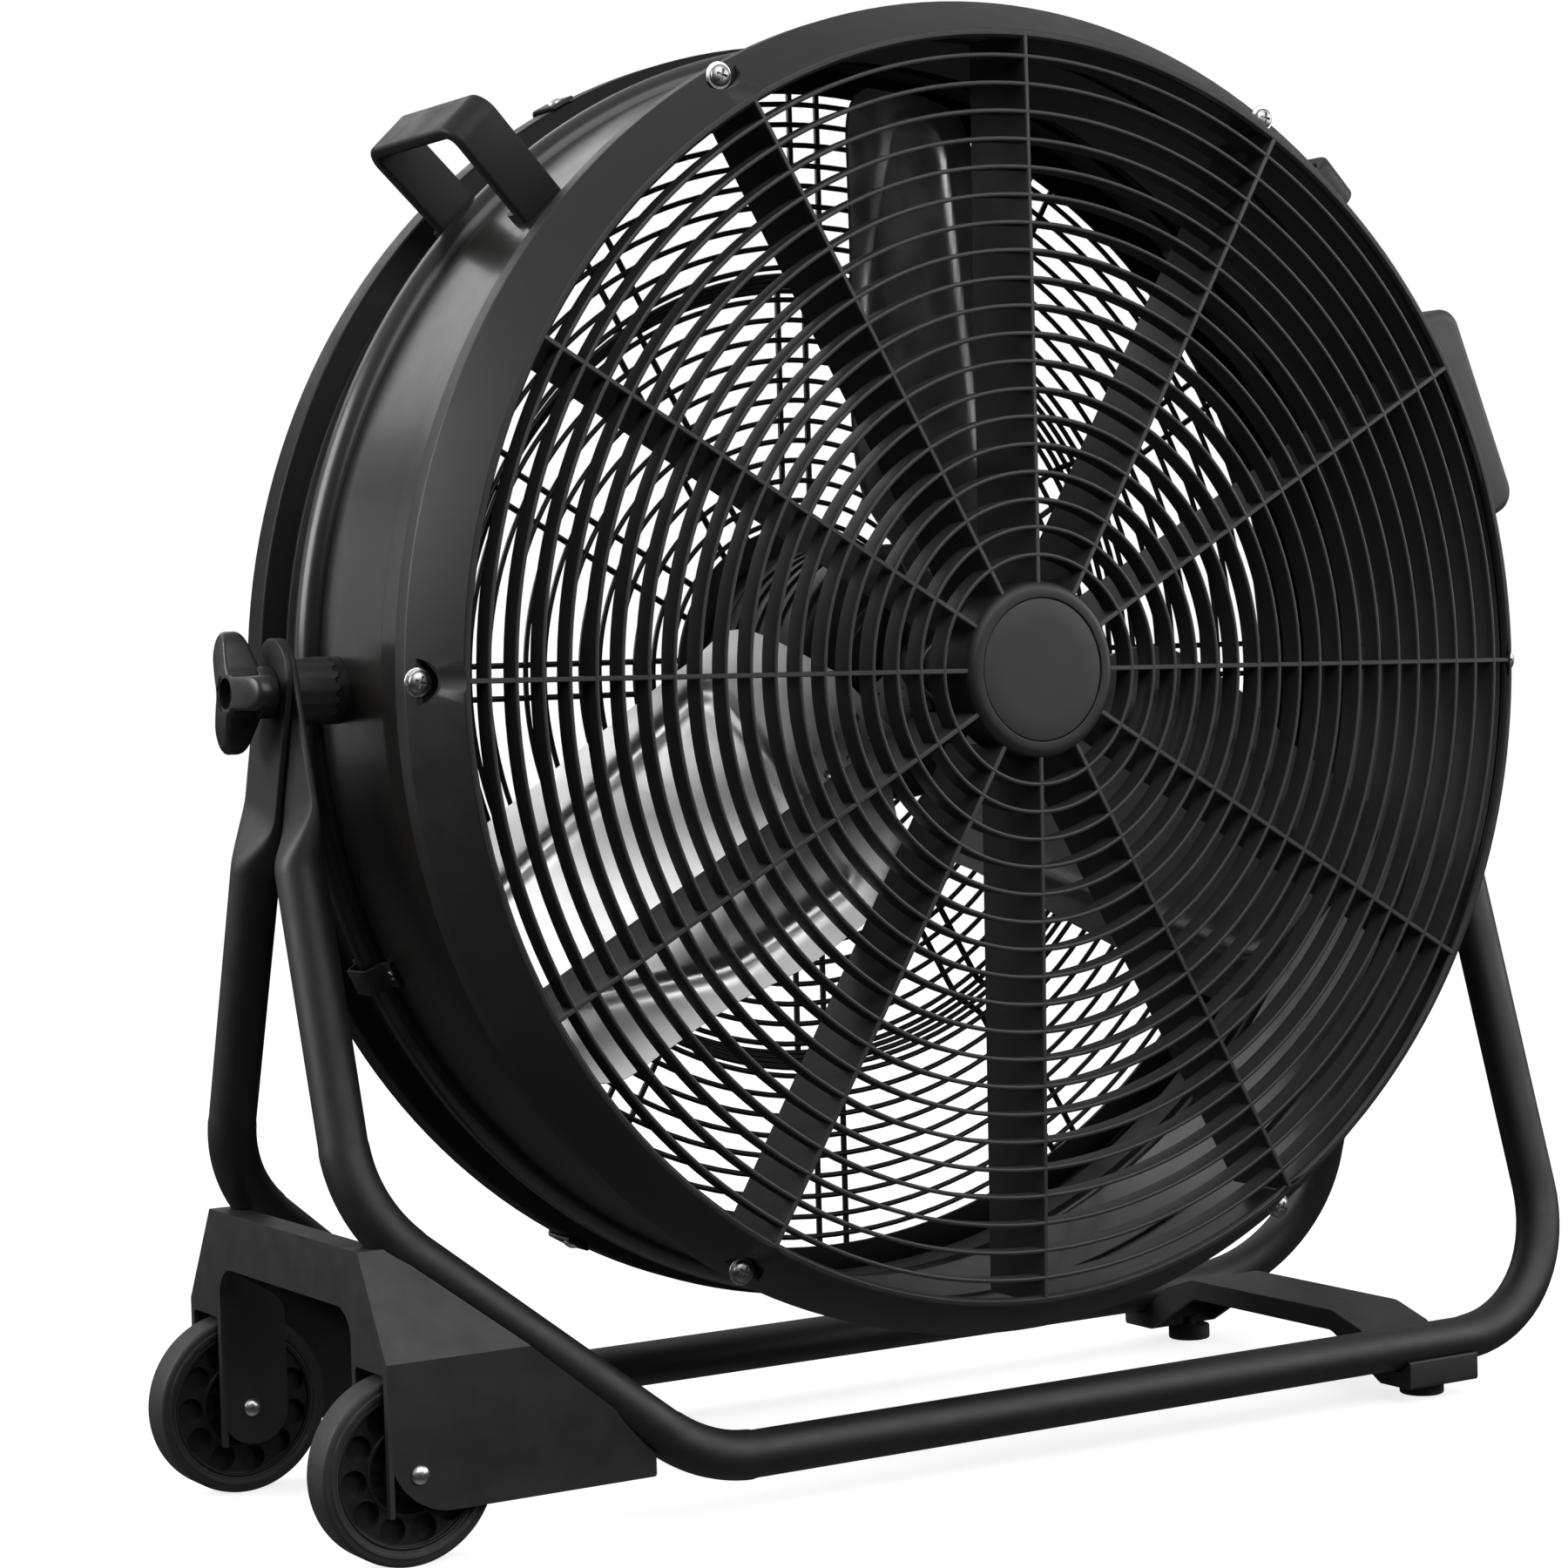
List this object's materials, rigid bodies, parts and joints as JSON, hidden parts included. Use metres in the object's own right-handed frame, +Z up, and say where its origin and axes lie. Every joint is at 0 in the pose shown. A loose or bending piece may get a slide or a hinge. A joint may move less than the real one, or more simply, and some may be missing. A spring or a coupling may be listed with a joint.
{
  "type": "high velocity fan",
  "caption": "Large drum fan with guarded blades, tilting between friction pivots on a bent-tube floor stand with wheels on one side and rubber feet on the other.",
  "frame": {"origin": "On the floor, at the middle of the part's footprint box: the feet and tyres stand on z = 0.", "axes": "+X points to the fan's right as seen from the front, where the feet are, and the wheels are at -X. +Y points from the grille to the rear guard. +Z points up."},
  "size_m": [0.8026, 0.2692, 0.767],
  "materials": {
    "drum_paint": "semi-gloss black paint",
    "powder_coat": "satin black powder coat",
    "guard_wire": "semi-gloss black coated wire",
    "motor_paint": "satin black paint",
    "grille_plastic": "satin black moulded plastic",
    "badge_plastic": "fine-textured black plastic",
    "control_plastic": "fine-textured black plastic",
    "handle_plastic": "satin black plastic",
    "pivot_plastic": "satin textured black plastic",
    "wheel_plastic": "satin black plastic",
    "rubber": "matte black rubber",
    "tyre": "matte black rubber, lighter on the tread",
    "zinc": "bright zinc plate",
    "steel": "plain machined steel",
    "aluminium": "brushed along the blade",
    "iron_core": "laminated core with windings"
  },
  "bodies": {
    "stand": {"front_tube": "powder_coat", "rear_tube": "powder_coat", "cross_bar": "powder_coat", "wheel_housing": "powder_coat", "foot_front": "rubber", "foot_rear": "rubber", "axle_front": "zinc", "axle_rear": "zinc", "pivot_spacer_left": "pivot_plastic", "pivot_spacer_right": "pivot_plastic"},
    "head": {"drum_shell": "drum_paint", "front_grille": "grille_plastic", "hub_badge": "badge_plastic", "grille_screw_1": "zinc", "grille_screw_2": "zinc", "grille_screw_3": "zinc", "grille_screw_4": "zinc", "grille_screw_5": "zinc", "grille_screw_6": "zinc", "rear_guard": "guard_wire", "guard_clip_1": "zinc", "guard_clip_2": "zinc", "guard_clip_3": "zinc", "guard_clip_4": "zinc", "guard_clip_5": "zinc", "guard_clip_6": "zinc", "motor_plate": "motor_paint", "motor_bolt_1": "zinc", "motor_bolt_2": "zinc", "motor_bolt_3": "zinc", "motor_bolt_4": "zinc", "motor_housing": "motor_paint", "motor_end_cap": "motor_paint", "stator": "iron_core", "bearing_front": "steel", "bearing_rear": "steel", "control_box": "control_plastic", "speed_switch": "control_plastic", "run_capacitor": "aluminium", "cord_gland": "rubber", "handle_left": "handle_plastic", "handle_right": "handle_plastic", "lead_clip": "motor_paint", "pivot_boss_left": "pivot_plastic", "pivot_boss_right": "pivot_plastic"},
    "rotor": {"motor_shaft": "steel", "rotor_core": "iron_core", "blade_hub": "steel", "blade_1": "aluminium", "blade_2": "aluminium", "blade_3": "aluminium", "hub_nut": "zinc"},
    "front_wheel": {"tyre_front": "tyre", "wheel_hub_front": "wheel_plastic"},
    "rear_wheel": {"tyre_rear": "tyre", "wheel_hub_rear": "wheel_plastic"},
    "left_clamp": {"tilt_knob_left": "pivot_plastic"},
    "right_clamp": {"tilt_knob_right": "pivot_plastic"},
    "speed_dial": {"speed_knob": "control_plastic"}
  },
  "joints": [
    {"name": "head_tilt", "type": "hinge", "parent": "stand", "child": "head", "pos_m": [0.0047, 0.00233, 0.417], "axis": [1, 0, 0], "range_deg": [-90, 90]},
    {"name": "rotor_spin", "type": "hinge", "parent": "head", "child": "rotor", "pos_m": [0.0047, -0.03, 0.417], "axis": [0, 1, 0], "continuous": true},
    {"name": "front_wheel_roll", "type": "hinge", "parent": "stand", "child": "front_wheel", "pos_m": [-0.3553, -0.09677, 0.046], "axis": [0, 1, 0], "continuous": true},
    {"name": "rear_wheel_roll", "type": "hinge", "parent": "stand", "child": "rear_wheel", "pos_m": [-0.3553, 0.10143, 0.046], "axis": [0, 1, 0], "continuous": true},
    {"name": "left_clamp_turn", "type": "hinge", "parent": "head", "child": "left_clamp", "pos_m": [-0.38, 0.00233, 0.417], "axis": [-1, 0, 0], "range_deg": [0, 360]},
    {"name": "right_clamp_turn", "type": "hinge", "parent": "head", "child": "right_clamp", "pos_m": [0.39, 0.00233, 0.417], "axis": [1, 0, 0], "range_deg": [0, 360]},
    {"name": "speed_turn", "type": "hinge", "parent": "head", "child": "speed_dial", "pos_m": [0.36563, -0.02127, 0.56209], "axis": [0.9278, 0, 0.373], "range_deg": [0, 180]}
  ]
}
